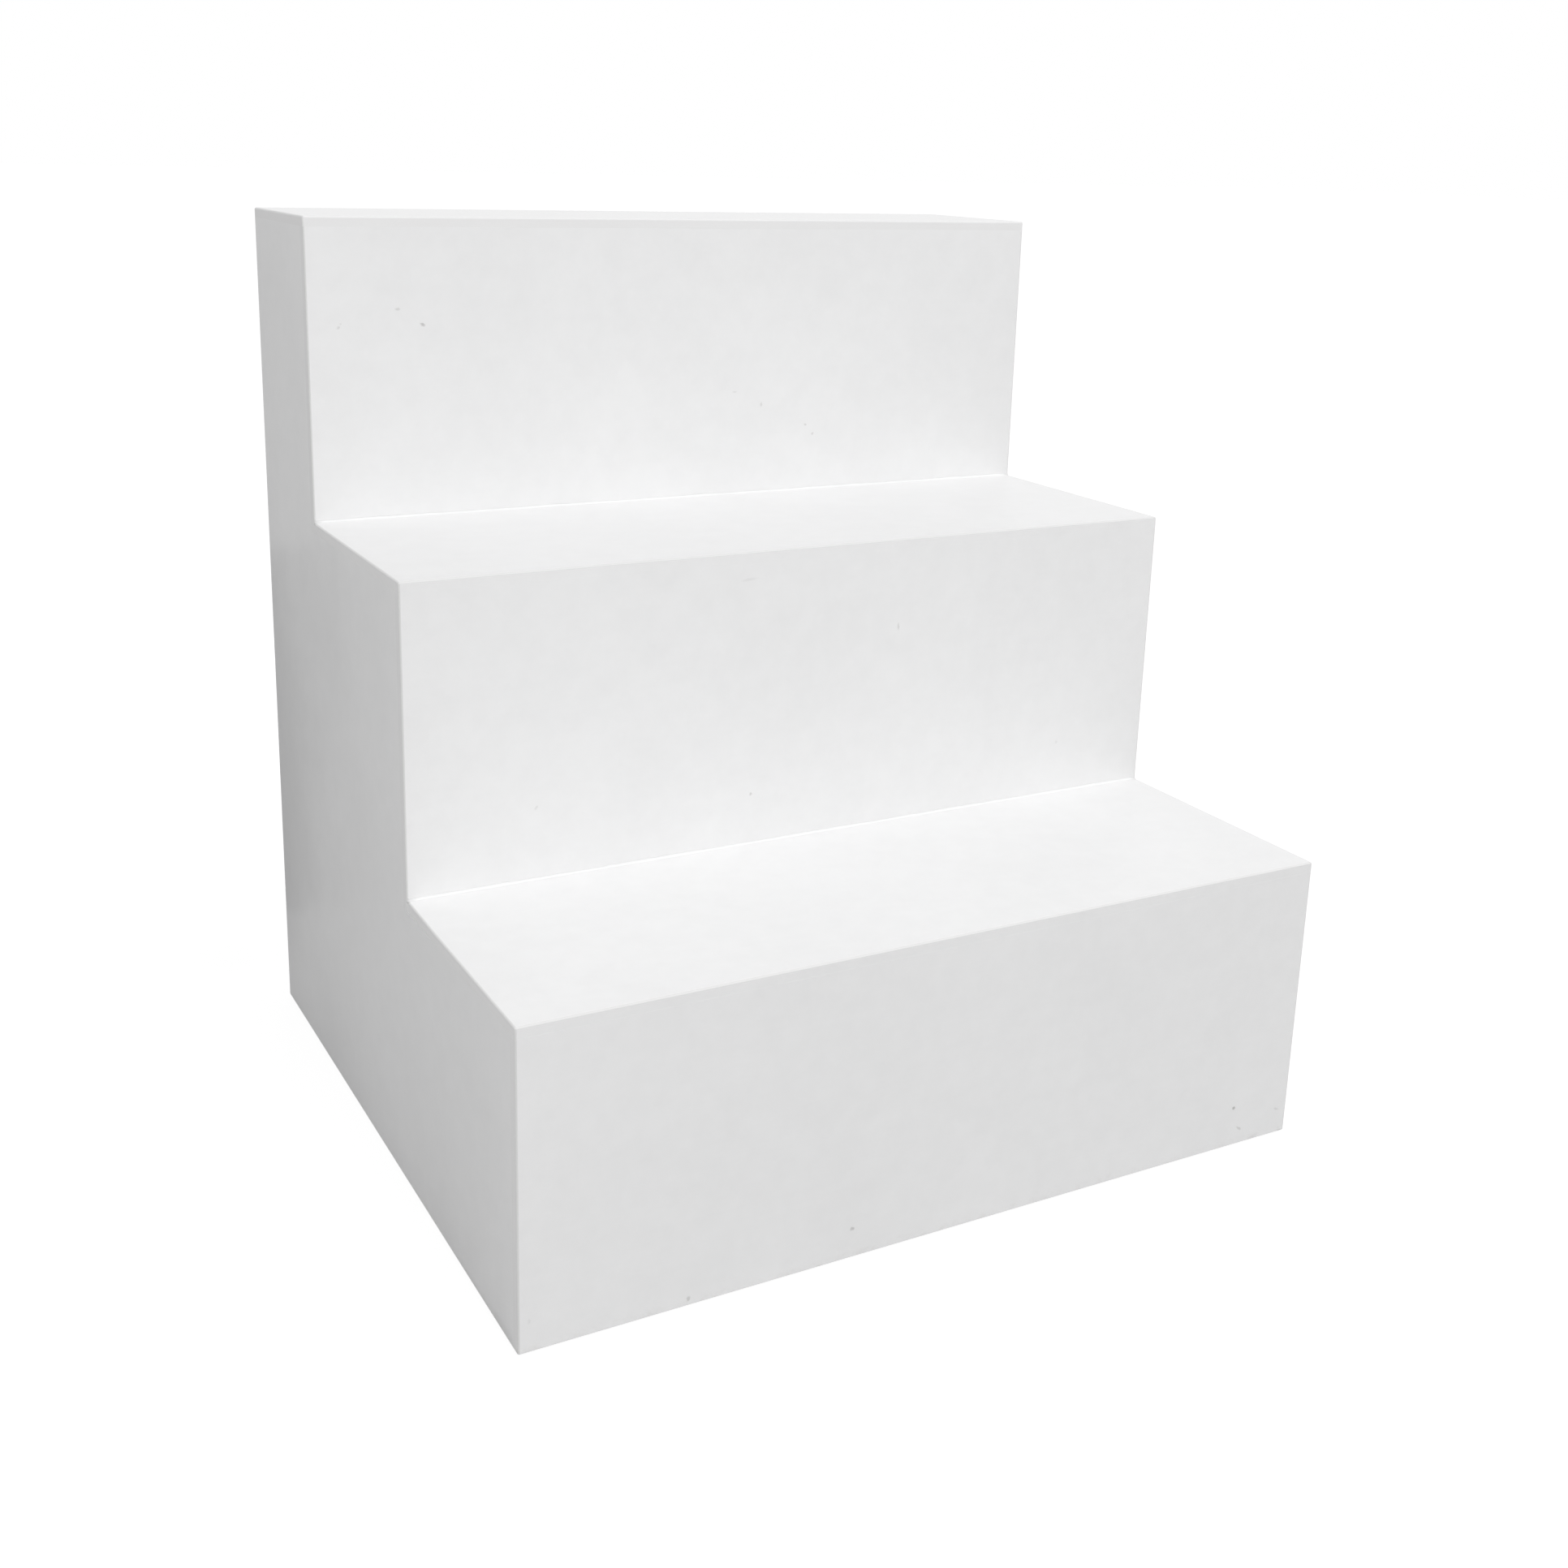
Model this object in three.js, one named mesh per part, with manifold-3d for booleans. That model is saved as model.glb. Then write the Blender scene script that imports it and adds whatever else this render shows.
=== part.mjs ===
// A three-step display table: a shell of white painted board on a frame of softwood battens.
// The back is screwed on and the underside is open. X runs across the front, Y to the back and Z up.
// The origin is on the floor, under the middle of the table.
import * as THREE from "three";
import { mergeVertices } from "three/addons/utils/BufferGeometryUtils.js";
import Module from "manifold-3d";

const wasm = await Module();
wasm.setup();

// Driving dimensions of the table, in millimetres
const WIDTH = 1000; // across the front, over the side panels
const RISE = 355; // from one tread's top to the next, and from the floor to the first
const GOING = 330; // depth of the lower and the middle tread, riser face to riser face
const TOP_DEPTH = 230; // depth of the top panel
const BOARD = 12; // thickness of the shell's boards
const BACK_BOARD = 6; // thickness of the back panel
const BACK_CLEARANCE = 0.8; // round the back panel, which comes off
const BATTEN = 30; // side of the frame's square battens
const GLUE_LINE = 0.3; // gap between faces that are glued or screwed together
const FLOOR_GAP = 2; // from the floor to the bottom edge of the shell

// Driving dimensions of the nail-on glides
const GLIDE_RADIUS = 10;
const GLIDE_HEIGHT = 5;
const GLIDE_CHAMFER = 1.5;
const NAIL_RADIUS = 1.5;
const NAIL_LENGTH = 18;
const NAIL_POINT = 4;
const GLIDE_SIDES = 24; // facets round a glide

// Driving dimensions of the countersunk screws that hold the back panel
const SCREW_LENGTH = 25;
const SCREW_RADIUS = 1.75;
const SCREW_HEAD_RADIUS = 3.5;
const SCREW_HEAD_HEIGHT = 2.2;
const SCREW_POINT = 5; // length of the tapered point
const SCREW_SINK = 0.4; // from the panel's face down to the head's face
const SCREW_MARGIN = 20; // from a rail to the nearest screw in a post
const POST_SCREWS = 5; // up each side of the back panel
const RAIL_SCREWS = 3; // along the top and along the foot
const SCREW_SIDES = 12; // facets round a screw, a nail or a hole

const HOLE_CLEARANCE = 0.3; // between a screw or nail and its hole
const HOLE_MOUTH = 1; // how far a hole's cutter stands out of the wood

const LEVELS = ["lower", "middle", "upper"];
const TOP = LEVELS.length - 1;
const HANDS = Object.entries({ left: -1, right: 1 });

// Places worked out from the driving dimensions
const DEPTH = TOP * GOING + TOP_DEPTH;
const FRONT = -DEPTH / 2;
const BACK = DEPTH / 2;
const INSIDE = WIDTH / 2 - BOARD; // from the middle to the inner face of a side panel
const POST_OUTSIDE = INSIDE - GLUE_LINE;
const POST_INSIDE = POST_OUTSIDE - BATTEN;
const POST_MIDDLE = (POST_OUTSIDE + POST_INSIDE) / 2;
const RAIL_END = POST_INSIDE - GLUE_LINE;
const BACK_WOOD = BACK - BACK_BOARD - GLUE_LINE; // back face of the frame, under the back panel

const riserFace = (level) => FRONT + level * GOING;
const riserBack = (level) => riserFace(level) + BOARD;
const treadTop = (level) => (level + 1) * RISE;
const treadUnderside = (level) => treadTop(level) - BOARD;
const woodTop = (level) => treadUnderside(level) - GLUE_LINE; // top of what carries a tread
const middleOf = ([low, high]) => (low + high) / 2;

// Pairs of limits that several pieces share
const fullWidth = [-WIDTH / 2, WIDTH / 2];
const betweenSides = [-POST_OUTSIDE, POST_OUTSIDE];
const betweenPosts = [-RAIL_END, RAIL_END];
const atMiddle = [-BATTEN / 2, BATTEN / 2];
const behindRiser = (level) => [riserBack(level) + GLUE_LINE, riserBack(level) + GLUE_LINE + BATTEN];
const atBack = [BACK_WOOD - BATTEN, BACK_WOOD];
const underTread = (level) => [woodTop(level) - BATTEN, woodTop(level)];
const atFloor = [FLOOR_GAP, FLOOR_GAP + BATTEN];

const paintedBoard = new THREE.MeshStandardMaterial({ color: 0xf1f1f1, roughness: 0.38, metalness: 0 });
const softwood = new THREE.MeshStandardMaterial({ color: 0xd9b98a, roughness: 0.7, metalness: 0 });
const zincSteel = new THREE.MeshStandardMaterial({ color: 0xc9c4b0, roughness: 0.35, metalness: 1 });
const nylon = new THREE.MeshStandardMaterial({ color: 0xe6e3da, roughness: 0.5, metalness: 0 });

// A closed geometry as a solid that can be cut
function toSolid(geometry) {
  const bare = geometry.clone();
  bare.deleteAttribute("normal");
  bare.deleteAttribute("uv");
  const merged = mergeVertices(bare, 1e-4);
  return new wasm.Manifold(
    new wasm.Mesh({
      numProp: 3,
      vertProperties: new Float32Array(merged.attributes.position.array),
      triVerts: new Uint32Array(merged.index.array),
    }),
  );
}

// A cut solid as a geometry
function toGeometry(solid) {
  const mesh = solid.getMesh();
  const geometry = new THREE.BufferGeometry();
  geometry.setAttribute("position", new THREE.BufferAttribute(mesh.vertProperties, 3));
  geometry.setIndex(new THREE.BufferAttribute(mesh.triVerts, 1));
  geometry.computeVertexNormals();
  return geometry;
}

function namedMesh(name, geometry, material) {
  const mesh = new THREE.Mesh(geometry, material);
  mesh.name = name;
  return mesh;
}

// A rectangular board or batten between pairs of limits
function block(name, material, [x0, x1], [y0, y1], [z0, z1]) {
  const mesh = namedMesh(name, new THREE.BoxGeometry(x1 - x0, y1 - y0, z1 - z0), material);
  mesh.position.set(middleOf([x0, x1]), middleOf([y0, y1]), middleOf([z0, z1]));
  return mesh;
}

// Cuts holes, given in the table's frame, out of a mesh that is placed without turning
function drill(mesh, cutters) {
  const { x, y, z } = mesh.position;
  const cut = (solid, cutter) => solid.subtract(toSolid(cutter.clone().translate(-x, -y, -z)));
  mesh.geometry = toGeometry(cutters.reduce(cut, toSolid(mesh.geometry)));
  return mesh;
}

// A shape turned about its own Y axis, from pairs of radius and height that run upwards
function turned(profile, sides) {
  const points = profile.map(([radius, height]) => new THREE.Vector2(radius, height));
  return new THREE.LatheGeometry(points, sides);
}

// Places a turned shape with its top towards the back, or with its top upwards
const faceBack = (geometry, { x, y, z }) => geometry.translate(x, y, z);
const faceUp = (geometry, { x, y, z }) => geometry.rotateX(Math.PI / 2).translate(x, y, z);

// A pair of limits on the left or the right hand, from their distances to the middle
function onHand(hand, inner, outer) {
  return hand < 0 ? [-outer, -inner] : [inner, outer];
}

// A side panel stands behind the risers and under the treads, so its steps are theirs, set in by a board
function sidePanel(name, hand) {
  const outline = new THREE.Shape();
  outline.moveTo(BACK, FLOOR_GAP);
  for (let level = 0; level <= TOP; level += 1) {
    const foot = level === 0 ? FLOOR_GAP : woodTop(level - 1);
    outline.lineTo(behindRiser(level)[0], foot);
    outline.lineTo(behindRiser(level)[0], woodTop(level));
  }
  outline.lineTo(BACK, woodTop(TOP));
  const alongX = new THREE.Vector3(1, 0, 0);
  const alongY = new THREE.Vector3(0, 1, 0);
  const alongZ = new THREE.Vector3(0, 0, 1);
  const upright = new THREE.Matrix4().makeBasis(alongY, alongZ, alongX);
  const flat = new THREE.ExtrudeGeometry(outline, { depth: BOARD, bevelEnabled: false });
  const mesh = namedMesh(name, flat.applyMatrix4(upright), paintedBoard);
  mesh.position.x = onHand(hand, INSIDE, INSIDE + BOARD)[0];
  return mesh;
}

// The boards that show from the front: side panels, risers, treads and the top panel
function shell() {
  const group = new THREE.Group();
  for (const [handName, hand] of HANDS) {
    group.add(sidePanel(`${handName}_side_panel`, hand));
  }
  LEVELS.forEach((levelName, level) => {
    const foot = level === 0 ? FLOOR_GAP : treadUnderside(level - 1);
    const riserDepth = [riserFace(level), riserBack(level)];
    group.add(block(`${levelName}_riser`, paintedBoard, fullWidth, riserDepth, [foot, woodTop(level)]));
    const treadName = level < TOP ? `${levelName}_tread` : "top_panel";
    const treadDepth = [riserFace(level), level < TOP ? riserFace(level + 1) - GLUE_LINE : BACK];
    const treadHeight = [treadUnderside(level), treadTop(level)];
    group.add(block(treadName, paintedBoard, fullWidth, treadDepth, treadHeight));
  });
  return group;
}

// The battens under the treads, and the rails at the foot of the front and of the sides
function battens() {
  const group = new THREE.Group();
  const backSupport = (level) => (level < TOP ? riserBack(level + 1) - BATTEN : atBack[0]);
  LEVELS.forEach((levelName, level) => {
    const height = underTread(level);
    const clearDepth = [behindRiser(level)[1] + GLUE_LINE, backSupport(level) - GLUE_LINE];
    group.add(block(`${levelName}_front_cleat`, softwood, betweenPosts, behindRiser(level), height));
    group.add(block(`${levelName}_bearer`, softwood, atMiddle, clearDepth, height));
    for (const [handName, hand] of HANDS) {
      const besidePanel = onHand(hand, POST_INSIDE, POST_OUTSIDE);
      group.add(block(`${handName}_${levelName}_cleat`, softwood, besidePanel, clearDepth, height));
    }
    if (level < TOP) {
      const ledgerDepth = [backSupport(level), riserBack(level + 1)];
      group.add(block(`${levelName}_ledger`, softwood, betweenSides, ledgerDepth, height));
    }
  });
  group.add(block("front_base_rail", softwood, betweenPosts, behindRiser(0), atFloor));
  const railDepth = [behindRiser(0)[1] + GLUE_LINE, atBack[0] - GLUE_LINE];
  for (const [handName, hand] of HANDS) {
    const besidePosts = onHand(hand, RAIL_END - BATTEN, RAIL_END);
    group.add(block(`${handName}_base_rail`, softwood, besidePosts, railDepth, atFloor));
  }
  return group;
}

// Half the section of a nail that stands on a glide's top, or of its wider hole
function nailProfile(clearance, foot) {
  const radius = NAIL_RADIUS + clearance;
  const tip = NAIL_LENGTH + clearance;
  return [
    [radius, foot],
    [radius, tip - NAIL_POINT],
    [0, tip],
  ];
}

// Half the section of a glide with its nail, whose top face is at height 0
function glideProfile() {
  return [
    [0, -GLIDE_HEIGHT],
    [GLIDE_RADIUS - GLIDE_CHAMFER, -GLIDE_HEIGHT],
    [GLIDE_RADIUS, GLIDE_CHAMFER - GLIDE_HEIGHT],
    [GLIDE_RADIUS, 0],
    ...nailProfile(0, 0),
  ];
}

// Half the section of a screw, or of its wider hole, where the panel's face is at height 0
function screwProfile(clearance, mouth) {
  const radius = SCREW_RADIUS + clearance;
  const headRadius = SCREW_HEAD_RADIUS + clearance;
  const tip = -SCREW_SINK - SCREW_LENGTH - clearance;
  const headAndMouth = [[headRadius, -SCREW_SINK]];
  if (mouth > -SCREW_SINK) {
    headAndMouth.push([headRadius, mouth]);
  }
  return [
    [0, tip],
    [radius, tip + SCREW_POINT],
    [radius, -SCREW_SINK - SCREW_HEAD_HEIGHT],
    ...headAndMouth,
    [0, mouth],
  ];
}

const screwHole = ({ at }) => faceBack(turned(screwProfile(HOLE_CLEARANCE, HOLE_MOUTH), SCREW_SIDES), at);

// Where the back panel's screws go in: up both posts, and along both rails between the posts
function screwPlaces() {
  const lowest = atFloor[1] + SCREW_MARGIN;
  const highest = underTread(TOP)[0] - SCREW_MARGIN;
  const share = (i) => (POST_SCREWS > 1 ? i / (POST_SCREWS - 1) : 1 / 2);
  const upPost = (i) => THREE.MathUtils.lerp(lowest, highest, share(i));
  const alongRail = (i) => THREE.MathUtils.lerp(-POST_MIDDLE, POST_MIDDLE, (i + 1) / (RAIL_SCREWS + 1));
  const row = (name, count, x, z) => Array.from({ length: count }, (_, i) => ({
    name: `${name}_screw_${i + 1}`,
    at: new THREE.Vector3(x(i), BACK, z(i)),
  }));
  return {
    left: row("back_left", POST_SCREWS, () => -POST_MIDDLE, upPost),
    right: row("back_right", POST_SCREWS, () => POST_MIDDLE, upPost),
    top: row("back_top", RAIL_SCREWS, alongRail, () => middleOf(underTread(TOP))),
    foot: row("back_foot", RAIL_SCREWS, alongRail, () => middleOf(atFloor)),
  };
}

// The four posts of each side, and the glides under the first and the last of them
function postsAndGlides(screws) {
  const group = new THREE.Group();
  const rows = [
    { place: "front", level: 0, depth: behindRiser(0), glide: true, back: false },
    { place: "middle", level: 1, depth: behindRiser(1), glide: false, back: false },
    { place: "upper", level: TOP, depth: behindRiser(TOP), glide: false, back: false },
    { place: "back", level: TOP, depth: atBack, glide: true, back: true },
  ];
  for (const [handName, hand] of HANDS) {
    for (const { place, level, depth, glide, back } of rows) {
      const foot = glide ? GLIDE_HEIGHT + GLUE_LINE : FLOOR_GAP;
      const width = onHand(hand, POST_INSIDE, POST_OUTSIDE);
      const post = block(`${handName}_${place}_post`, softwood, width, depth, [foot, woodTop(level)]);
      const holes = back ? screws[handName].map(screwHole) : [];
      if (glide) {
        const at = new THREE.Vector3(hand * POST_MIDDLE, middleOf(depth), GLIDE_HEIGHT);
        const hole = [[0, -HOLE_MOUTH], ...nailProfile(HOLE_CLEARANCE, -HOLE_MOUTH)];
        holes.push(faceUp(turned(hole, SCREW_SIDES), at));
        const shape = faceUp(turned(glideProfile(), GLIDE_SIDES), at);
        group.add(namedMesh(`${handName}_${place}_glide`, shape, nylon));
      }
      group.add(drill(post, holes));
    }
  }
  return group;
}

// The back panel with its screws, and the two rails between the back posts
function screwedBack(screws) {
  const group = new THREE.Group();
  const topRail = block("top_back_rail", softwood, betweenPosts, atBack, underTread(TOP));
  const footRail = block("back_base_rail", softwood, betweenPosts, atBack, atFloor);
  group.add(drill(topRail, screws.top.map(screwHole)));
  group.add(drill(footRail, screws.foot.map(screwHole)));

  const allScrews = Object.values(screws).flat();
  const panelWidth = [BACK_CLEARANCE - INSIDE, INSIDE - BACK_CLEARANCE];
  const panelDepth = [BACK - BACK_BOARD, BACK];
  const panelHeight = [FLOOR_GAP, treadUnderside(TOP) - BACK_CLEARANCE];
  const panel = block("back_panel", paintedBoard, panelWidth, panelDepth, panelHeight);
  group.add(drill(panel, allScrews.map(screwHole)));
  for (const { name, at } of allScrews) {
    const shape = faceBack(turned(screwProfile(0, -SCREW_SINK), SCREW_SIDES), at);
    group.add(namedMesh(name, shape, zincSteel));
  }
  return group;
}

const screws = screwPlaces();
const table = new THREE.Group();
table.add(shell(), battens(), postsAndGlides(screws), screwedBack(screws));

export default table;
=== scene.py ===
# A tiered display table: satin white boards over a hidden pine frame.
# Lengths are in metres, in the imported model's frame: x to the right, y to the back, z up.
import math
import random

import bmesh
import bpy
from mathutils import Euler, Matrix, Vector


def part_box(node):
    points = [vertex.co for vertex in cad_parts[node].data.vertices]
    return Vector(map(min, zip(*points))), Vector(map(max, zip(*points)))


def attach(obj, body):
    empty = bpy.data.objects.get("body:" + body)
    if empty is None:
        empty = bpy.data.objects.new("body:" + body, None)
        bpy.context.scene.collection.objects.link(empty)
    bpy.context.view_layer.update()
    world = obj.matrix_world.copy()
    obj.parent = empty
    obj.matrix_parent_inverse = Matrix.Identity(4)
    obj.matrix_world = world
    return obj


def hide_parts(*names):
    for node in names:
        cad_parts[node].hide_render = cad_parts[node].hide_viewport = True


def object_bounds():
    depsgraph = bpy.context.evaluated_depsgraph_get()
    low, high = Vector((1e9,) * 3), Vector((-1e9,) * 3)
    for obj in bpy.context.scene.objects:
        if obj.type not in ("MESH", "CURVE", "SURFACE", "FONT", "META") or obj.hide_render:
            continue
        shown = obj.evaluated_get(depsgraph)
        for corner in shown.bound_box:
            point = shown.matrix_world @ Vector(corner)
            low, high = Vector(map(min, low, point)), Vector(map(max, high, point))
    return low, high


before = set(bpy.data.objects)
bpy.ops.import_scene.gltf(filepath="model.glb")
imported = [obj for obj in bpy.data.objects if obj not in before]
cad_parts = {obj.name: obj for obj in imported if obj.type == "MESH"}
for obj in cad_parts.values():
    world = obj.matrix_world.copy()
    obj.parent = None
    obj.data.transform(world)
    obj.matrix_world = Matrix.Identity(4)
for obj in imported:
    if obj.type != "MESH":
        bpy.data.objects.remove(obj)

cad_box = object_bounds()

ARRIS = 0.0022  # easing on the corners that hands touch
NEAR_END = 0.0045  # a cut this close to the end of an eased corner keeps its shading even
NEAR_JOINT = 0.0008  # the same, where the corner ends at a joint
FOOT_ARRIS = 0.0008  # easing along the edge at the floor
BACK_ARRIS = 0.0006  # easing round the back board
TIGHT_JOINT = 0.00008  # filled and painted over
OPEN_JOINT = 0.0004  # where the filler has sunk and the joint shows
OPEN_FROM_Y = -0.21  # on the left side, from here to the next riser
SHORT_END = 0.0008  # what the lower tread lacks there
BEAD = 0.003  # size of the filler bead in an inner corner
PLANED = 0.0012  # easing on a planed batten
SCREW_HEAD, SCREW_SHANK, SCREW_TIP = 0.0035, 0.00175, 0.0003  # radii
SCREW_DROP = 0.0022  # depth of the head's cone
SCREW_BORE, SCREW_SINK = 0.00205, 0.0040  # radii of its hole in the back board, inside and at the outer end
SCREW_CELL, CELL_EDGE = 0.007, 0.002  # half the square of board that is marked out round a screw, and its edge
MARGIN = 0.01  # tells one place from the next
SAME_POINT = 1e-6  # points closer than this are one
SQUARE_ON = 0.999  # how squarely a face looks to the side that it counts for
SHARP = 0.3  # two faces that meet at more than this angle, in radians, have a corner between them
X, Y, Z = range(3)
FACE, EDGE, BARE, SHADED_ARRIS = range(4)  # a board's finishes: painted face, sealed edge, bare board, and an eased corner in darker paint as painted shade
SIDES = {
    "left": Vector((-1, 0, 0)), "right": Vector((1, 0, 0)), "front": Vector((0, -1, 0)),
    "back": Vector((0, 1, 0)), "under": Vector((0, 0, -1)), "top": Vector((0, 0, 1)),
}
LEVELS = ("lower", "middle", "upper")
BELOW = {"middle": "lower", "upper": "middle"}
ABOVE = {"lower": "middle", "middle": "upper"}
TREADS = {"lower": "lower_tread", "middle": "middle_tread", "upper": "top_panel"}


# ---- shader nodes ----------------------------------------------------------------------------------------------------


class Shade:
    """A socket in a material's nodes. Sums on it add Math nodes, and add() makes any other node."""

    def __init__(self, tree, socket=None):
        self.tree, self.socket = tree, socket

    def add(self, kind, settings=None, sockets=None, out=0):
        """A node of this type. Its settings come first, then the values or links of its sockets."""
        node = self.tree.nodes.new("ShaderNode" + kind)
        for name, value in (settings or {}).items():
            setattr(node, name, value)
        for name, value in (sockets or {}).items():
            if isinstance(value, Shade):
                self.tree.links.new(value.socket, node.inputs[name])
            else:
                node.inputs[name].default_value = value
        return Shade(self.tree, node.outputs[out]) if node.outputs else None

    def maths(self, operation, *values):
        return self.add("Math", {"operation": operation}, dict(enumerate(values)))

    def __add__(self, other):
        return self.maths("ADD", self, other)

    def __sub__(self, other):
        return self.maths("SUBTRACT", self, other)

    def __rsub__(self, other):
        return self.maths("SUBTRACT", other, self)

    def __mul__(self, other):
        return self.maths("MULTIPLY", self, other)

    __radd__ = __add__
    __rmul__ = __mul__

    def most(self, other):
        return self.maths("MAXIMUM", self, other)

    def between(self, low, high):
        """0 at low, 1 at high, and smooth between them."""
        return self.add("MapRange", {"interpolation_type": "SMOOTHSTEP"}, {0: self, 1: low, 2: high, 3: 0.0, 4: 1.0})

    def noise(self, scale, detail=2.0, roughness=0.5):
        """Cloudy noise over these coordinates, from 0 to 1."""
        return self.add("TexNoise", {}, {"Vector": self, "Scale": scale, "Detail": detail, "Roughness": roughness})

    def stretched(self, x, y, z):
        return self.add("VectorMath", {"operation": "MULTIPLY"}, {0: self, 1: (x, y, z)})

    def tinted(self, low, high):
        """A colour between two others, by this value."""
        ends = [c if isinstance(c, Shade) else (*c, 1.0) for c in (low, high)]
        return self.add("Mix", {"data_type": "RGBA"}, {0: self, 6: ends[0], 7: ends[1]}, out=2)

    def part(self, axis):
        return self.add("SeparateXYZ", {}, {0: self}, out=axis)


def new_material(name):
    material = bpy.data.materials.new(name)
    material.use_nodes = True
    material.node_tree.nodes.clear()
    sheet = Shade(material.node_tree)
    return material, sheet, sheet.add("TexCoord", out="Object")


def coat(sheet, sockets, height=None, lift=0.0):
    """The material's shader. The height, where there is one, roughens it by that many metres."""
    if height is not None:
        sockets = {**sockets, "Normal": sheet.add("Bump", {}, {"Strength": 1.0, "Distance": lift, "Height": height})}
    sheet.add("OutputMaterial", {}, {"Surface": sheet.add("BsdfPrincipled", {}, sockets)})


def touched(place, marks):
    """How far each spot is rubbed, from small scuffs: x, y, z, half length, half width, tilt in degrees, depth."""
    stray = 0.0015  # how far a scuff's outline wanders
    wander = place.add("TexNoise", {}, {"Vector": place, "Scale": 420.0, "Detail": 2.0}, out="Color")
    wander = place.add("VectorMath", {"operation": "MULTIPLY_ADD"}, {0: wander, 1: (2 * stray,) * 3, 2: (-stray,) * 3})
    place = place.add("VectorMath", {"operation": "ADD"}, {0: place, 1: wander})
    rubbed = None
    for x, y, z, length, width, tilt, depth in marks:
        on_side = abs(abs(x) - cad_box[1].x) < SAME_POINT
        size = (1.0, length, width) if on_side else (length, 1.0, width)
        turn = (math.radians(tilt), 0, 0) if on_side else (0, math.radians(-tilt), 0)
        spot = place.add("Mapping", {"vector_type": "TEXTURE"},
                         {"Vector": place, "Location": (x, y, z), "Rotation": turn, "Scale": size})
        spot = place.add("TexGradient", {"gradient_type": "SPHERICAL"}, {"Vector": spot}).between(0.0, 0.7) * depth
        rubbed = spot if rubbed is None else rubbed.most(spot)
    return rubbed


# ---- finishes --------------------------------------------------------------------------------------------------------


def white_paint(name, white=(0.81, 0.81, 0.812), streaks=0.0, marks=()):
    """Satin white from a roller: cloudy, faintly stippled, with the scuffs that the table has picked up."""
    material, sheet, place = new_material(name)
    clouds = place.noise(5.0, 4.0, 0.6)
    patches = place.noise(34.0, 6.0, 0.66)
    stipple = place.noise(260.0, 2.0, 0.5)
    grains = place.noise(1100.0, 1.0, 0.5)
    lines = place.stretched(3.0, 3.0, 170.0).noise(1.0, 3.0, 0.6)
    tone = (clouds - 0.5) * 0.05 + (patches - 0.5) * 0.05 + (lines - 0.5) * streaks
    shade = tone.between(-0.03, 0.03).tinted([c * 0.965 for c in white], [c * 1.025 for c in white])
    dust = place.noise(700.0, 2.0, 0.6).between(0.71, 0.79) * place.noise(22.0, 2.0).between(0.5, 0.7)
    shade = (dust * 0.16).tinted(shade, (0.5, 0.48, 0.45))
    foot = place.part("Z").between(0.014, 0.002) * place.noise(90.0, 3.0, 0.65).between(0.46, 0.68)
    shade = (foot * 0.14).tinted(shade, (0.5, 0.46, 0.42))
    rough = 0.40 + (clouds - 0.5) * 0.16 + (patches - 0.5) * 0.12 + foot * 0.2
    height = stipple * 0.7 + grains * 0.18 + lines * (streaks * 4.0) + patches * 1.2
    if marks:
        rubbed = touched(place, marks)
        shade = rubbed.tinted(shade, (0.16, 0.145, 0.135))
        rough = rough + rubbed * 0.25
        height = height - rubbed * 1.5
    coat(sheet, {"Base Color": shade, "Roughness": rough, "Specular IOR Level": 0.42}, height, 0.00006)
    return material


def sealed_edge_and_arris_shade(name, thin, full):
    """A cut edge or an eased corner of fibreboard, which drinks the paint: a little darker, duller and furrier. On an
    eased corner the darker tone is also painted shade, which dims the corner's highlight.
    """
    material, sheet, place = new_material(name)
    clouds = place.noise(9.0, 3.0, 0.6)
    fibres = place.noise(520.0, 3.0, 0.65)
    tone = (clouds - 0.5) * 0.6 + (fibres - 0.5) * 0.35 + 0.5
    shade = tone.between(0.1, 0.9).tinted(thin, full)
    foot = place.part("Z").between(0.012, 0.002) * place.noise(110.0, 3.0, 0.65).between(0.45, 0.65)
    shade = (foot * 0.2).tinted(shade, (0.48, 0.43, 0.38))
    coat(sheet, {"Base Color": shade, "Roughness": 0.52 + (fibres - 0.5) * 0.2, "Specular IOR Level": 0.35},
         fibres + clouds * 0.5, 0.00002)
    return material


def bare_fibreboard(name):
    """The unpainted inside of the boards: pressed brown fibre, misted white near the floor where the spray got in."""
    material, sheet, place = new_material(name)
    clouds = place.noise(12.0, 4.0, 0.6)
    fibres = place.noise(900.0, 4.0, 0.7)
    flecks = place.stretched(260.0, 260.0, 900.0).noise(1.0, 2.0, 0.6).between(0.62, 0.74)
    shade = (clouds * 0.6 + fibres * 0.4).between(0.3, 0.7).tinted((0.36, 0.235, 0.135), (0.47, 0.33, 0.205))
    shade = (flecks * 0.5).tinted(shade, (0.22, 0.135, 0.075))
    mist = place.part("Z").between(0.045, 0.0) * place.noise(300.0, 3.0, 0.7).between(0.38, 0.62)
    shade = (mist * 0.75).tinted(shade, (0.82, 0.81, 0.79))
    coat(sheet, {"Base Color": shade, "Roughness": 0.78 + (fibres - 0.5) * 0.15, "Specular IOR Level": 0.25},
         fibres + flecks * 0.6, 0.00012)
    return material


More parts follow.
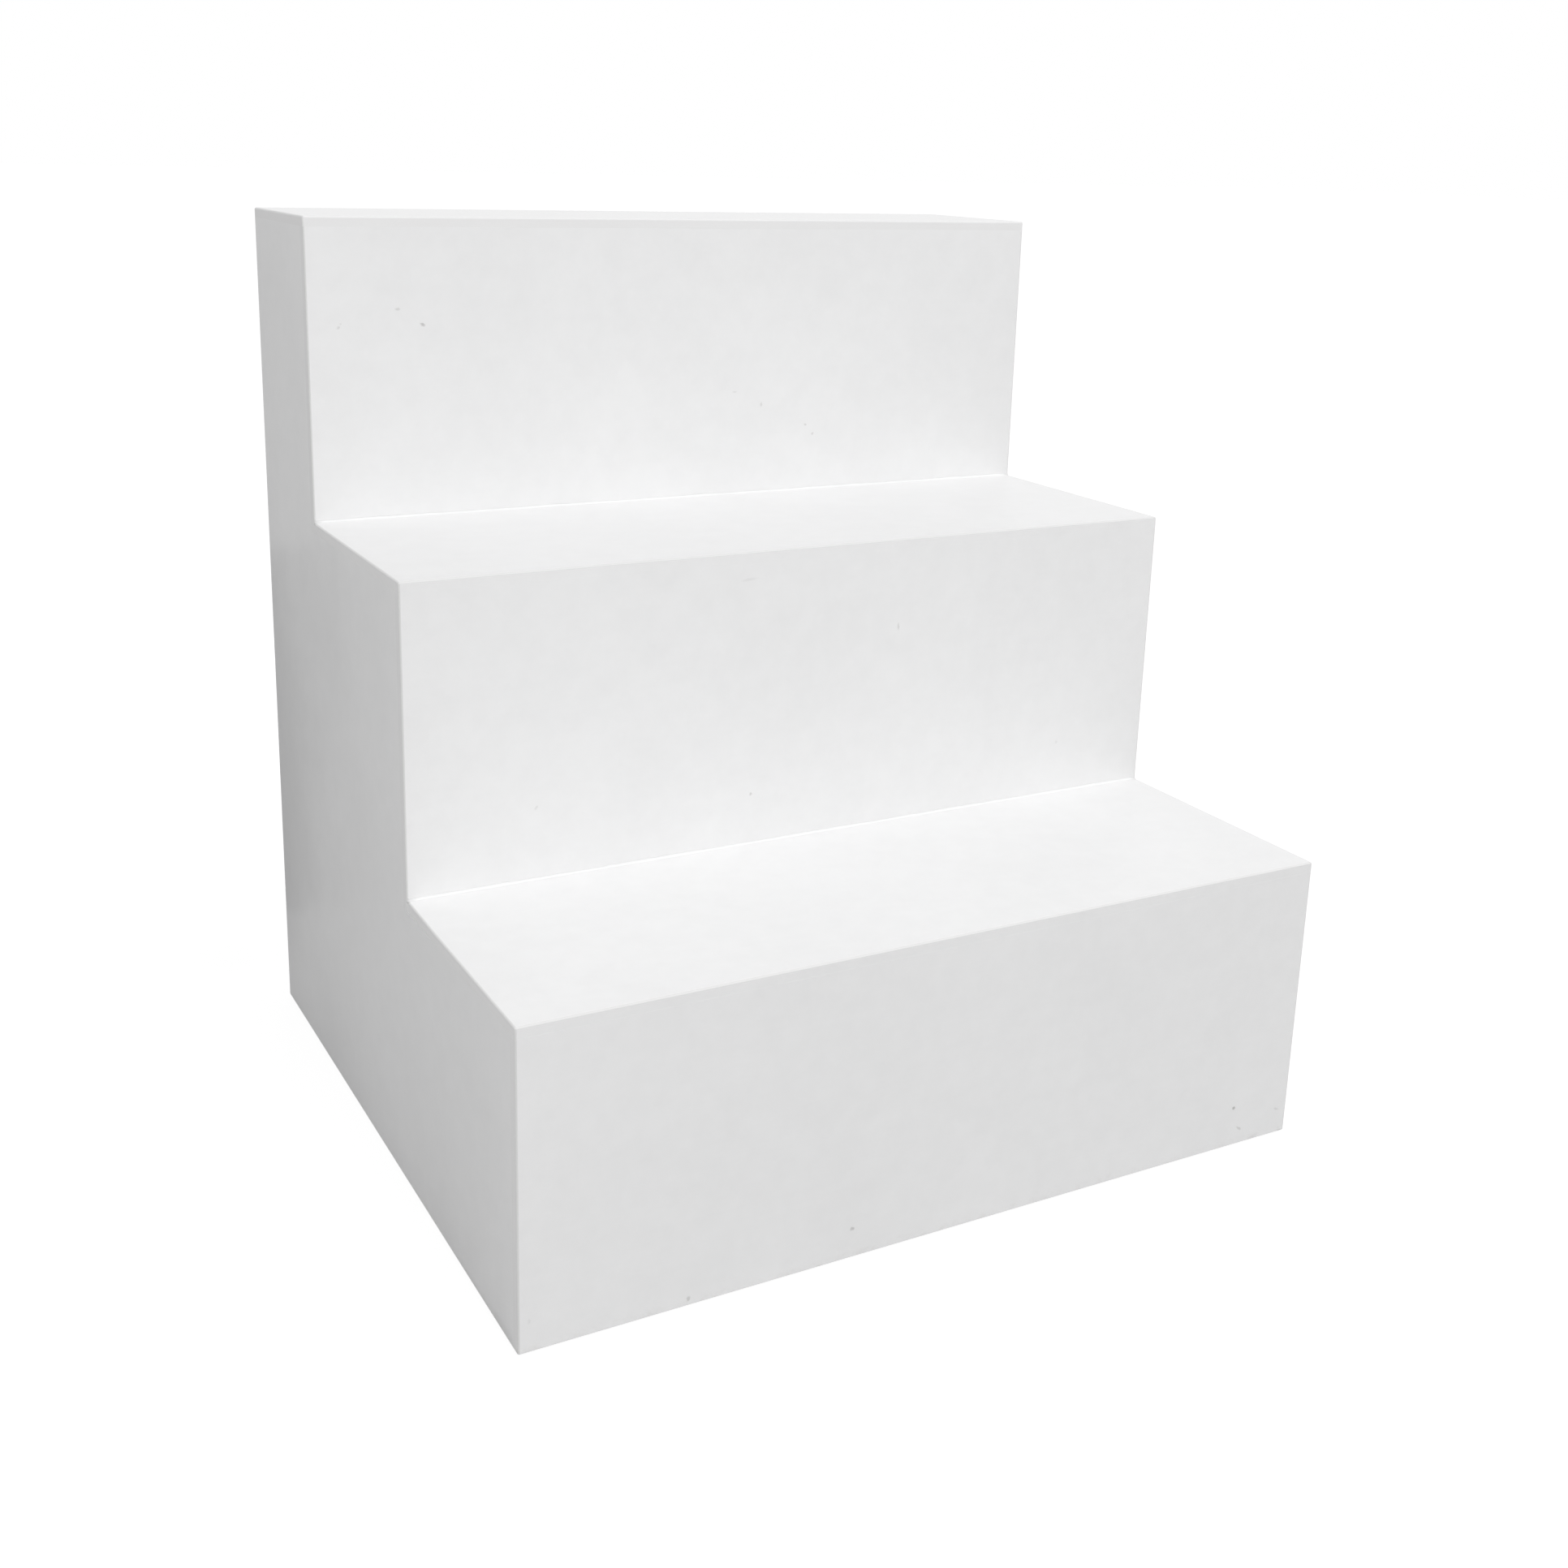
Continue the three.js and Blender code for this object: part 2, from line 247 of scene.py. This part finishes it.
def planed_pine(name, along):
    """Pale softwood with its grain along one axis: growth bands, fine pores and a few knots."""
    material, sheet, place = new_material(name)
    lie = place.stretched(*[0.05 if axis == along else 1.0 for axis in "xyz"])
    sway = lie.noise(9.0, 2.0, 0.5)
    bands = sheet.add("TexWave", {"wave_type": "RINGS", "rings_direction": along.upper(), "wave_profile": "SAW"},
                      {"Vector": place, "Scale": 52.0, "Distortion": 3.2, "Detail": 2.0, "Detail Scale": 0.7})
    pores = lie.noise(1500.0, 3.0, 0.7)
    spread = place.stretched(*[3.0 if axis == along else 7.0 for axis in "xyz"])
    knots = 1.0 - sheet.add("TexVoronoi", {}, {"Vector": spread, "Scale": 1.0}).between(0.045, 0.13)
    shade = (bands * 0.65 + sway * 0.35).between(0.15, 0.95).tinted((0.70, 0.50, 0.28), (0.50, 0.305, 0.14))
    shade = (pores.between(0.58, 0.72) * 0.35).tinted(shade, (0.36, 0.21, 0.095))
    shade = (knots * 0.85).tinted(shade, (0.17, 0.082, 0.034))
    coat(sheet, {"Base Color": shade, "Roughness": 0.62 + (pores - 0.5) * 0.2, "Specular IOR Level": 0.3},
         bands * 0.4 + pores * 0.8, 0.00012)
    return material


def zinc_plate(name):
    """Zinc plated steel with a dull yellowish bloom."""
    material, sheet, place = new_material(name)
    bloom = place.noise(420.0, 3.0, 0.6)
    scratches = place.stretched(4000.0, 600.0, 700.0).noise(1.0, 2.0, 0.6)
    shade = bloom.between(0.35, 0.68).tinted((0.62, 0.60, 0.55), (0.60, 0.53, 0.36))
    coat(sheet, {"Base Color": shade, "Metallic": 1.0, "Roughness": 0.30 + bloom * 0.16 + (scratches - 0.5) * 0.1},
         scratches, 0.00002)
    return material


def moulded_nylon(name):
    """Milky nylon, scratched grey where it slides on the floor."""
    material, sheet, place = new_material(name)
    milk = place.noise(240.0, 2.0, 0.5)
    scratch = place.stretched(1800.0, 160.0, 160.0).noise(1.0, 3.0, 0.7).between(0.55, 0.68)
    worn = scratch * place.part("Z").between(0.0012, 0.0)
    shade = (worn * 0.6).tinted(milk.tinted((0.76, 0.75, 0.70), (0.82, 0.81, 0.77)), (0.33, 0.31, 0.28))
    coat(sheet, {"Base Color": shade, "Roughness": 0.42 + worn * 0.3, "Subsurface Weight": 0.12,
                 "Subsurface Radius": (0.004, 0.004, 0.003), "Subsurface Scale": 0.5}, milk + scratch * 0.6, 0.00004)
    return material


# Scuffs and specks, on the face that each riser or side shows: x, y, z, half length, half width, tilt, depth.
LOWER_Y, MIDDLE_Y, UPPER_Y = (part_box(f"{level}_riser")[0].y for level in LEVELS)
LEFT_X = cad_box[0].x
UPPER_MARKS = [
    (-0.3617, UPPER_Y, 0.9401, 0.0040, 0.0024, -28, 0.40), (-0.3917, UPPER_Y, 0.9586, 0.0042, 0.0024, -8, 0.21),
    (-0.4627, UPPER_Y, 0.9383, 0.0034, 0.0022, 25, 0.18), (-0.4600, UPPER_Y, 0.9425, 0.0024, 0.0018, 0, 0.13),
    (0.0559, UPPER_Y, 0.8452, 0.0044, 0.0016, 10, 0.13), (0.0959, UPPER_Y, 0.8277, 0.0046, 0.0019, 86, 0.18),
    (0.1632, UPPER_Y, 0.7978, 0.0027, 0.0024, 0, 0.22), (0.1749, UPPER_Y, 0.7853, 0.0029, 0.0022, 60, 0.22),
]
MIDDLE_MARKS = [
    (-0.0889, MIDDLE_Y, 0.6780, 0.0136, 0.0024, 5, 0.08), (0.1148, MIDDLE_Y, 0.6024, 0.0064, 0.0020, 92, 0.22),
    (0.3637, MIDDLE_Y, 0.4240, 0.0027, 0.0027, 0, 0.10), (-0.0809, MIDDLE_Y, 0.4177, 0.0027, 0.0026, 0, 0.27),
    (-0.3497, MIDDLE_Y, 0.4407, 0.0042, 0.0022, 50, 0.14),
]
LOWER_MARKS = [
    (0.4142, LOWER_Y, 0.0520, 0.0034, 0.0032, 0, 0.51), (0.4256, LOWER_Y, 0.0219, 0.0064, 0.0022, -32, 0.25),
    (0.4842, LOWER_Y, 0.0340, 0.0060, 0.0020, -24, 0.15), (-0.1199, LOWER_Y, 0.0365, 0.0037, 0.0029, 0, 0.32),
    (-0.3146, LOWER_Y, 0.0097, 0.0027, 0.0040, 0, 0.27), (-0.4881, LOWER_Y, 0.0369, 0.0022, 0.0044, 0, 0.08),
    (0.4491, LOWER_Y, 0.0044, 0.0120, 0.0040, 16, 0.09), (0.4930, LOWER_Y, 0.0024, 0.0064, 0.0022, 0, 0.40),
]
SIDE_MARKS = [
    (LEFT_X, -0.400, 0.000, 0.060, 0.0180, 0, 0.09), (LEFT_X, -0.330, 0.000, 0.080, 0.0120, 0, 0.07),
    (LEFT_X, -0.300, 0.006, 0.012, 0.0030, 0, 0.07),
]
paint = white_paint("satin_white")
# A little darker than the other white: painted shade that dims the light that the bead's slope catches.
bead_painted_shade = white_paint("white_filler_painted_shade", (0.79, 0.79, 0.792))
riser_paints = {
    "lower": white_paint("white_lower_riser", streaks=0.008, marks=LOWER_MARKS),
    "middle": white_paint("white_middle_riser", streaks=0.006, marks=MIDDLE_MARKS),
    "upper": white_paint("white_upper_riser", streaks=0.006, marks=UPPER_MARKS),
}
side_paint = white_paint("white_left_side", streaks=0.004, marks=SIDE_MARKS)
edge_paint = sealed_edge_and_arris_shade("white_sealed_edge", (0.772, 0.769, 0.769), (0.803, 0.802, 0.803))
# Eased corners: darker than the face paint, as painted shade that dims the highlight that they catch.
arris_painted_shade = sealed_edge_and_arris_shade("white_arris_painted_shade", (0.70, 0.697, 0.694), (0.735, 0.733, 0.732))
fibreboard = bare_fibreboard("bare_fibreboard")
pine = {along: planed_pine(f"planed_pine_{along}", along) for along in "xyz"}
zinc = zinc_plate("zinc_plated_steel")
nylon = moulded_nylon("milky_nylon")


# ---- joinery ---------------------------------------------------------------------------------------------------------


def block(bm, low, high):
    """A plain block between two corners, before it is worked."""
    size = Matrix.Diagonal((*(high - low), 1.0))
    bmesh.ops.create_cube(bm, size=1.0, matrix=Matrix.Translation((low + high) / 2) @ size)


def verts_in(geom):
    return [g for g in geom if isinstance(g, bmesh.types.BMVert)]


def edges_in(geom):
    return [g for g in geom if isinstance(g, bmesh.types.BMEdge)]


def saw(bm, axis, *places):
    """Cuts new edges at these places along an axis, and takes nothing away."""
    for place in places:
        point, normal = Vector(), Vector()
        point[axis], normal[axis] = place, 1.0
        everything = [*bm.verts, *bm.edges, *bm.faces]
        bmesh.ops.bisect_plane(bm, geom=everything, dist=1e-7, plane_co=point, plane_no=normal)


def facing(bm, *sides):
    """The faces that look to one of these sides."""
    bm.normal_update()
    return {f for f in bm.faces if any(f.normal.dot(SIDES[s]) > SQUARE_ON for s in sides)}


def corners(bm, sides, others, keep=lambda middle: True):
    """The edges where a face to one of the sides meets a face to one of the others."""
    ours, theirs = facing(bm, *sides), facing(bm, *others)
    return [
        e for e in bm.edges
        if len(e.link_faces) == 2 and e.calc_face_angle() > SHARP
        and any(a in ours and b in theirs for a, b in (e.link_faces, reversed(e.link_faces)))
        and keep((e.verts[0].co + e.verts[1].co) / 2)
    ]


def rim(bm, side, hidden=()):
    """The edges round the faces to one side, apart from those shared with a hidden side."""
    ours, left_out = facing(bm, side), facing(bm, *hidden)
    return [
        e for e in bm.edges
        if len(e.link_faces) == 2 and len(ours.intersection(e.link_faces)) == 1
        and not left_out.intersection(e.link_faces)
    ]


def ease(bm, edges, width, segments=4, finish=None):
    """Takes the sharpness off these edges. A finish, where it is given, goes on the faces that this cuts."""
    made = bmesh.ops.bevel(bm, geom=edges, offset=width, offset_type="OFFSET", segments=segments, profile=0.5,
                           affect="EDGES", material=-1, clamp_overlap=True)
    bm.normal_update()
    for face in made["faces"]:
        slanted = max(abs(x) for x in face.normal) < SQUARE_ON
        if slanted and not face.smooth:  # a smooth face is a corner eased before
            face.smooth = segments > 1
            if finish is not None:
                face.material_index = finish


def dress(bm, painted, sealed):
    """Paint on the faces to some sides, sealed cut edges to others, and bare board for the rest."""
    for face in bm.faces:
        face.material_index = BARE
    for finish, sides in ((FACE, painted), (EDGE, sealed)):
        for face in facing(bm, *sides):
            face.material_index = finish


def finished(name, bm, materials):
    """The worked shape as an object, with its materials."""
    mesh = bpy.data.meshes.new(name)
    bm.to_mesh(mesh)
    bm.free()
    for material in materials:
        mesh.materials.append(material)
    made = bpy.data.objects.new(name, mesh)
    bpy.context.scene.collection.objects.link(made)
    return made


def piece(name, bm, materials, slot, *stands_for):
    """A piece of the table, and the node that it stands for."""
    made = finished(name, bm, materials)
    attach(made, "root")
    if stands_for:
        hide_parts(*stands_for)


def board(node, bm, face_paint=paint):
    """One of the painted boards, with its finishes in the order of FACE, EDGE, BARE and SHADED_ARRIS."""
    piece(f"{node}_board", bm, [face_paint, edge_paint, fibreboard, arris_painted_shade], "white_paint", node)


def riser(level):
    """An upright board. Its two front corners are eased from the tread below it up to the tread on top."""
    low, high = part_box(f"{level}_riser")
    high.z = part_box(TREADS[level])[0].z
    bm = bmesh.new()
    block(bm, low, high)
    foot, sealed = low.z, ["left", "right"]
    if level in BELOW:
        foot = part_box(TREADS[BELOW[level]])[1].z
        saw(bm, Z, foot)
    else:
        sealed.append("under")
    dress(bm, ["front"], sealed)
    ease(bm, corners(bm, ["front"], ["left", "right"], lambda middle: middle.z > foot), ARRIS, finish=SHADED_ARRIS)
    if level not in BELOW:
        ease(bm, rim(bm, "under", ["back"]), FOOT_ARRIS, 1, EDGE)
    ease(bm, rim(bm, "top", ["back"]), TIGHT_JOINT, 1, FACE)
    saw(bm, Z, foot + FOOT_ARRIS + NEAR_JOINT, high.z - NEAR_JOINT)
    board(f"{level}_riser", bm, riser_paints[level])


def tread(level):
    """A level board that laps over its riser and both sides, eased on every corner that shows."""
    node = TREADS[level]
    low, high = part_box(node)
    painted, sealed, hidden, corner_finish = ["top", "front"], ["left", "right"], ["back"], SHADED_ARRIS
    if level in ABOVE:
        high.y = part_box(f"{ABOVE[level]}_riser")[0].y
    else:
        # The top panel's eased corners take the darker sealed-edge finish, which is partly painted shade that dims
        # their highlight.
        painted, sealed, hidden, corner_finish = ["top"], ["front", "left", "right", "back"], [], EDGE
    bm = bmesh.new()
    block(bm, low, high)
    dress(bm, painted, sealed)
    if level == "lower":  # its left end falls short towards the back, and the side board's edge catches the light there
        saw(bm, Y, OPEN_FROM_Y)
        short = [v for v in bm.verts if v.co.x < 0 and v.co.y > OPEN_FROM_Y + MARGIN]
        bmesh.ops.translate(bm, vec=(SHORT_END, 0, 0), verts=short)
    shown = painted + sealed
    ease(bm, corners(bm, shown, shown), ARRIS, finish=corner_finish)
    ease(bm, rim(bm, "under", hidden), TIGHT_JOINT, 1, FACE)
    saw(bm, X, low.x + NEAR_END, high.x - NEAR_END)
    saw(bm, Y, low.y + NEAR_END, high.y - NEAR_END)
    saw(bm, Z, low.z + NEAR_JOINT)
    board(node, bm)


def stepped_side(hand):
    """A side cut as three steps in one sheet, behind the risers and under the treads."""
    node = f"{hand}_side_panel"
    low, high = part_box(node)
    outer = low.x if hand == "left" else high.x
    outline = [(high.y, low.z)]
    level_z = low.z
    for level in LEVELS:
        back_of_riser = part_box(f"{level}_riser")[1].y
        under_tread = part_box(TREADS[level])[0].z
        outline += [(back_of_riser, level_z), (back_of_riser, under_tread)]
        level_z = under_tread
    outline.append((high.y, level_z))
    bm = bmesh.new()
    sheet = bm.faces.new([bm.verts.new((outer, y, z)) for y, z in outline])
    grown = bmesh.ops.extrude_face_region(bm, geom=[sheet])["geom"]
    inward = (low.x + high.x - 2 * outer, 0, 0)
    bmesh.ops.translate(bm, vec=inward, verts=verts_in(grown))
    bmesh.ops.recalc_face_normals(bm, faces=bm.faces)
    if hand == "left":
        saw(bm, Y, OPEN_FROM_Y)
    dress(bm, [hand, "top"], ["back", "under"])
    ease(bm, corners(bm, [hand], ["back"]), ARRIS, finish=SHADED_ARRIS)
    ease(bm, corners(bm, ["back"], ["right" if hand == "left" else "left"]), FOOT_ARRIS, 3)
    ease(bm, rim(bm, "under", ["front"]), FOOT_ARRIS, 1, EDGE)
    lowest_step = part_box("lower_tread")[0].z + MARGIN

    def sunk(middle):
        return hand == "left" and middle.y > OPEN_FROM_Y and middle.z < lowest_step

    ease(bm, corners(bm, [hand], ["top"], lambda middle: not sunk(middle)), TIGHT_JOINT, 1, FACE)
    ease(bm, corners(bm, [hand], ["top"], sunk), OPEN_JOINT, 2, FACE)
    bmesh.ops.remove_doubles(bm, verts=bm.verts, dist=SAME_POINT)
    saw(bm, Z, low.z + FOOT_ARRIS + NEAR_JOINT, high.z - NEAR_JOINT)
    board(node, bm, side_paint if hand == "left" else paint)


def filler_bead(level):
    """Filler run along the inner corner where a riser stands on the tread below, drawn hollow with a finger."""
    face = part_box(f"{level}_riser")[0].y
    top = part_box(TREADS[BELOW[level]])[1].z
    reach = cad_box[1].x - ARRIS * 0.4
    bm = bmesh.new()
    toe = bm.verts.new((-reach, face - BEAD, top))
    hollow = (0, face - BEAD, top + BEAD)
    bmesh.ops.spin(bm, geom=[toe], cent=hollow, axis=(1, 0, 0), angle=math.pi / 2, steps=7)
    bm.verts.new((-reach, face, top))
    end = bm.faces.new(bm.verts)
    grown = bmesh.ops.extrude_face_region(bm, geom=[end])["geom"]
    bmesh.ops.translate(bm, vec=(2 * reach, 0, 0), verts=verts_in(grown))
    long_edges = [e for e in bm.edges if abs(e.verts[0].co.x - e.verts[1].co.x) > reach]
    bmesh.ops.subdivide_edges(bm, edges=long_edges, cuts=90, use_grid_fill=True)
    for v in bm.verts:  # the finger pressed unevenly, in long and short waves
        x, swell = v.co.x, 1.0
        for depth, waves, start in ((0.10, 31, 1.3), (0.07, 83, top * 9), (0.05, 190, 0)):
            swell += depth * math.sin(waves * x + start)
        v.co.y = face + (v.co.y - face) * swell
        v.co.z = top + (v.co.z - top) * swell
    bmesh.ops.recalc_face_normals(bm, faces=bm.faces)
    for f in bm.faces:
        f.smooth = f.normal.y < -0.05 and f.normal.z > 0.05
    piece(f"{level}_riser_filler_bead", bm, [bead_painted_shade], "white_paint")


def countersink(bm, centre, face, depth, bore, wide):
    """Drills one hole through the back board and opens its outer end for a screw head."""
    loops = []
    for side, y, radius in (("back", face, wide), ("front", face - depth, bore)):
        middle = Vector((centre[0], y, centre[1]))
        cell = min(facing(bm, side), key=lambda f: (f.calc_center_median() - middle).length)
        bmesh.ops.inset_individual(bm, faces=[cell], thickness=CELL_EDGE, use_even_offset=True)
        bmesh.ops.subdivide_edges(bm, edges=list(cell.edges), cuts=5)
        for v in cell.verts:
            v.co = middle + (v.co - middle).normalized() * radius
        if side == "back":
            step = wide - bore
            bmesh.ops.inset_individual(bm, faces=[cell], thickness=step, depth=-step, use_even_offset=True)
        loops += list(cell.edges)
        bmesh.ops.delete(bm, geom=[cell], context="FACES_ONLY")
    bmesh.ops.bridge_loops(bm, edges=loops)


def back_board():
    """The thin board that closes the back, screwed into the posts and rails."""
    low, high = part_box("back_panel")
    sealed = ["left", "right", "under", "top"]
    places = []
    for node in (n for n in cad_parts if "_screw_" in n):
        a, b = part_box(node)
        places.append(((a.x + b.x) / 2, (a.z + b.z) / 2))
    bm = bmesh.new()
    block(bm, low, high)
    for axis, lines in zip((X, Z), zip(*places)):
        for line in sorted({round(line, 5) for line in lines}):
            saw(bm, axis, line - SCREW_CELL, line + SCREW_CELL)
    dress(bm, ["back"], sealed)
    for place in places:
        countersink(bm, place, high.y, high.y - low.y, SCREW_BORE, SCREW_SINK)
    ease(bm, corners(bm, ["back"], sealed), BACK_ARRIS, 3)
    bmesh.ops.recalc_face_normals(bm, faces=bm.faces)
    board("back_panel", bm)


def screw_shape(bm, length):
    """A countersunk wood screw with a cross recess, its head face at the origin and its axis down z."""
    circle = bmesh.ops.create_circle(bm, segments=32, radius=SCREW_HEAD)["verts"]
    ring = list(dict.fromkeys(e for v in circle for e in v.link_edges))
    wing, slot = SCREW_HEAD * 0.52, SCREW_HEAD * 0.15
    taper, sunk = 0.55, SCREW_DROP * 0.75
    points = []
    corner = [Vector((slot, slot, 0)), Vector((slot, wing, 0)), Vector((-slot, wing, 0))]
    for quarter in range(4):
        spin = Matrix.Rotation(quarter * math.pi / 2, 3, "Z")
        points += [spin @ p for p in corner]
    verts = [bm.verts.new(p) for p in points]
    cross = [bm.edges.new((a, b)) for a, b in zip(verts, verts[1:] + verts[:1])]
    bmesh.ops.triangle_fill(bm, use_beauty=True, edges=ring + cross, normal=(0, 0, 1))
    grown = bmesh.ops.extrude_edge_only(bm, edges=cross)["geom"]
    bmesh.ops.scale(bm, vec=(taper, taper, 1), verts=verts_in(grown))
    bmesh.ops.translate(bm, vec=(0, 0, -sunk), verts=verts_in(grown))
    bmesh.ops.edgenet_fill(bm, edges=edges_in(grown))
    profile = [(SCREW_HEAD, SCREW_DROP * 0.12), (SCREW_SHANK, SCREW_DROP), (SCREW_SHANK, length * 0.8),
               (SCREW_TIP, length)]
    for radius, depth in profile:
        grown = bmesh.ops.extrude_edge_only(bm, edges=ring)["geom"]
        ring = edges_in(grown)
        for v in verts_in(grown):
            flat = Vector((v.co.x, v.co.y, 0)).normalized() * radius
            v.co = (flat.x, flat.y, -depth)
    bmesh.ops.edgenet_fill(bm, edges=ring)
    bmesh.ops.remove_doubles(bm, verts=bm.verts, dist=SAME_POINT)
    bmesh.ops.recalc_face_normals(bm, faces=bm.faces)


def back_screws():
    """The screws round the back board, each left at its own turn."""
    hand = random.Random(7)
    for node in sorted(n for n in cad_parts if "_screw_" in n):
        low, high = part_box(node)
        bm = bmesh.new()
        screw_shape(bm, high.y - low.y)
        place = Matrix.Translation(((low.x + high.x) / 2, high.y, (low.z + high.z) / 2))
        turn = Matrix.Rotation(-math.pi / 2, 4, "X") @ Matrix.Rotation(hand.uniform(0, math.pi / 2), 4, "Z")
        bmesh.ops.transform(bm, matrix=place @ turn, verts=bm.verts)
        piece(f"{node}_driven", bm, [zinc], "zinc_steel", node)


def battens():
    """The planed softwood frame behind the boards."""
    names = ("_post", "_cleat", "_bearer", "_ledger", "_rail")
    for node in sorted(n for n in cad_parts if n.endswith(names)):
        low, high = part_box(node)
        size = high - low
        along = "xyz"[max(range(3), key=lambda axis: size[axis])]
        bm = bmesh.new()
        block(bm, low, high)
        ease(bm, list(bm.edges), PLANED, 2)
        piece(f"{node}_batten", bm, [pine[along]], "softwood", node)


def glide(node):
    """A nail-on nylon glide, turned, with the nail's head sunk in its foot."""
    low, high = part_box(node)
    nail_head = [(0.0, 0.0016), (0.0022, 0.0016)]  # radius and height of each point, from the axis outwards
    foot = [(0.0026, 0.0013), (0.0026, 0.0), (0.0085, 0.0), (0.0095, 0.0005), (0.01, 0.0015), (0.01, 0.0044),
            (0.0094, 0.005)]
    nail = [(0.0015, 0.005), (0.0015, 0.021), (0.0, 0.023)]
    nail_reach, foot_top, hair = 0.0024, 0.005, 0.0001
    bm = bmesh.new()
    verts = [bm.verts.new((r, 0, z)) for r, z in nail_head + foot + nail]
    edges = [bm.edges.new(pair) for pair in zip(verts, verts[1:])]
    bmesh.ops.spin(bm, geom=verts + edges, cent=(0, 0, 0), axis=(0, 0, 1), angle=2 * math.pi, steps=40,
                   use_merge=True)
    bmesh.ops.remove_doubles(bm, verts=bm.verts, dist=SAME_POINT)
    bmesh.ops.recalc_face_normals(bm, faces=bm.faces)
    for f in bm.faces:
        middle = f.calc_center_median()
        f.material_index = int(math.hypot(middle.x, middle.y) < nail_reach)
        f.smooth = hair < middle.z < foot_top - hair and f.normal.z < 0.9
    bmesh.ops.translate(bm, vec=((low.x + high.x) / 2, (low.y + high.y) / 2, low.z), verts=bm.verts)
    piece(f"{node}_foot", bm, [nylon, zinc], "nylon", node)


for level in LEVELS:
    riser(level)
    tread(level)
    if level in BELOW:
        filler_bead(level)
for hand in ("left", "right"):
    stepped_side(hand)
    for end in ("front", "back"):
        glide(f"{hand}_{end}_glide")
back_board()
back_screws()
battens()


# ---- studio ----------------------------------------------------------------------------------------------------------


def studio_floor():
    """A wide pale floor, open under the table, so that the underside can be looked at from below."""
    material, sheet, _ = new_material("studio_floor")
    lit = sheet.add("BsdfDiffuse", {}, {"Color": (0.5, 0.5, 0.5, 1.0)})
    pale = sheet.add("AddShader", {}, {0: sheet.add("BsdfDiffuse", {}, {"Color": (0.14, 0.14, 0.14, 1.0)}),
                                       1: sheet.add("Emission", {}, {"Color": (1, 1, 1, 1), "Strength": 0.91})})
    shown = sheet.add("MixShader", {}, {0: sheet.add("LightPath", out="Is Camera Ray"), 1: lit, 2: pale})
    below = sheet.add("NewGeometry", out="Backfacing")
    shown = sheet.add("MixShader", {}, {0: below, 1: shown, 2: sheet.add("BsdfTransparent")})
    sheet.add("OutputMaterial", {}, {"Surface": shown})
    reach, lap, drop = 60.0, 0.006, 0.0002  # half its width, how far it runs in under the table, and how far below it
    low, high = cad_box
    bm = bmesh.new()
    bmesh.ops.create_grid(bm, x_segments=1, y_segments=1, size=reach)
    for axis in (X, Y):
        saw(bm, axis, low[axis] + lap, high[axis] - lap)
    under_table = min(bm.faces, key=lambda f: f.calc_center_median().length)
    bmesh.ops.delete(bm, geom=[under_table], context="FACES_ONLY")
    bmesh.ops.translate(bm, vec=(0, 0, -drop), verts=bm.verts)
    floor = finished("studio_floor", bm, [material])


def studio_flag(low, high):
    """A black card that keeps some of the surround's light off the table. The camera doesn't see it."""
    material, sheet, place = new_material("studio_flag")
    coat(sheet, {"Base Color": place.noise(300.0).tinted((0.02, 0.02, 0.02), (0.03, 0.03, 0.03)), "Roughness": 0.9})
    bm = bmesh.new()
    block(bm, Vector(low), Vector(high))
    flag = finished("studio_flag", bm, [material])
    flag.visible_camera = False


def studio_sky(brightness, sheen):
    """An even surround, white to the camera. It lights the table at one brightness and shows in gloss at another."""
    world = bpy.data.worlds.new("studio")
    bpy.context.scene.world = world
    world.use_nodes = True
    world.node_tree.nodes.clear()
    sheet = Shade(world.node_tree)
    light, gloss, white = (sheet.add("Background", {}, {"Color": (1, 1, 1, 1), "Strength": strength})
                           for strength in (brightness, sheen, 1.0))
    lit = sheet.add("MixShader", {}, {0: sheet.add("LightPath", out="Is Glossy Ray"), 1: light, 2: gloss})
    seen = sheet.add("MixShader", {}, {0: sheet.add("LightPath", out="Is Camera Ray"), 1: lit, 2: white})
    sheet.add("OutputWorld", {}, {"Surface": seen})


def studio_lamp(name, kind, place, aim=(0, 0, 0), **settings):
    """A soft lamp at a place, turned to where it is aimed."""
    lamp = bpy.data.lights.new(name, kind)
    for setting, value in settings.items():
        setattr(lamp, setting, value)
    made = bpy.data.objects.new(name, lamp)
    made.location = place
    made.rotation_mode = "QUATERNION"
    made.rotation_quaternion = (Vector(place) - Vector(aim)).to_track_quat("Z", "Y")
    bpy.context.scene.collection.objects.link(made)


def photo_camera():
    """The camera of the photograph: chest high, in front of the table and to its left."""
    lens = bpy.data.cameras.new("camera")
    lens.lens, lens.sensor_width, lens.shift_y = 42.473, 36.0, -0.0859
    lens.clip_end = 200.0
    camera = bpy.data.objects.new("camera", lens)
    camera.location = (-1.0501, -1.9364, 1.1556)
    camera.rotation_euler = Euler([math.radians(a) for a in (74.8059, -1.6211, -28.5295)])
    bpy.context.scene.collection.objects.link(camera)
    bpy.context.scene.camera = camera


studio_floor()
studio_flag((-0.6, 0.5, 0.1), (-0.52, 0.505, 0.62))
studio_sky(0.577, 1.03)
studio_lamp("key", "SUN", (0.95, -1.48, 2.43), energy=0.4 * math.pi, angle=math.radians(50))
studio_lamp("left_softbox", "AREA", (-2.6, -1.6, 1.4), (0, 0, 0.5), energy=15.0, shape="DISK", size=1.6)
studio_lamp("right_softbox", "AREA", (1.8, -2.2, 2.4), (0, 0, 0.5), energy=17.8, shape="DISK", size=1.6)
studio_lamp("back_softbox", "AREA", (0.5, 2.4, 0.35), (0, 0.4, 0.5), energy=12.0, shape="DISK", size=1.0)
photo_camera()
bpy.context.scene.view_settings.view_transform = "Standard"
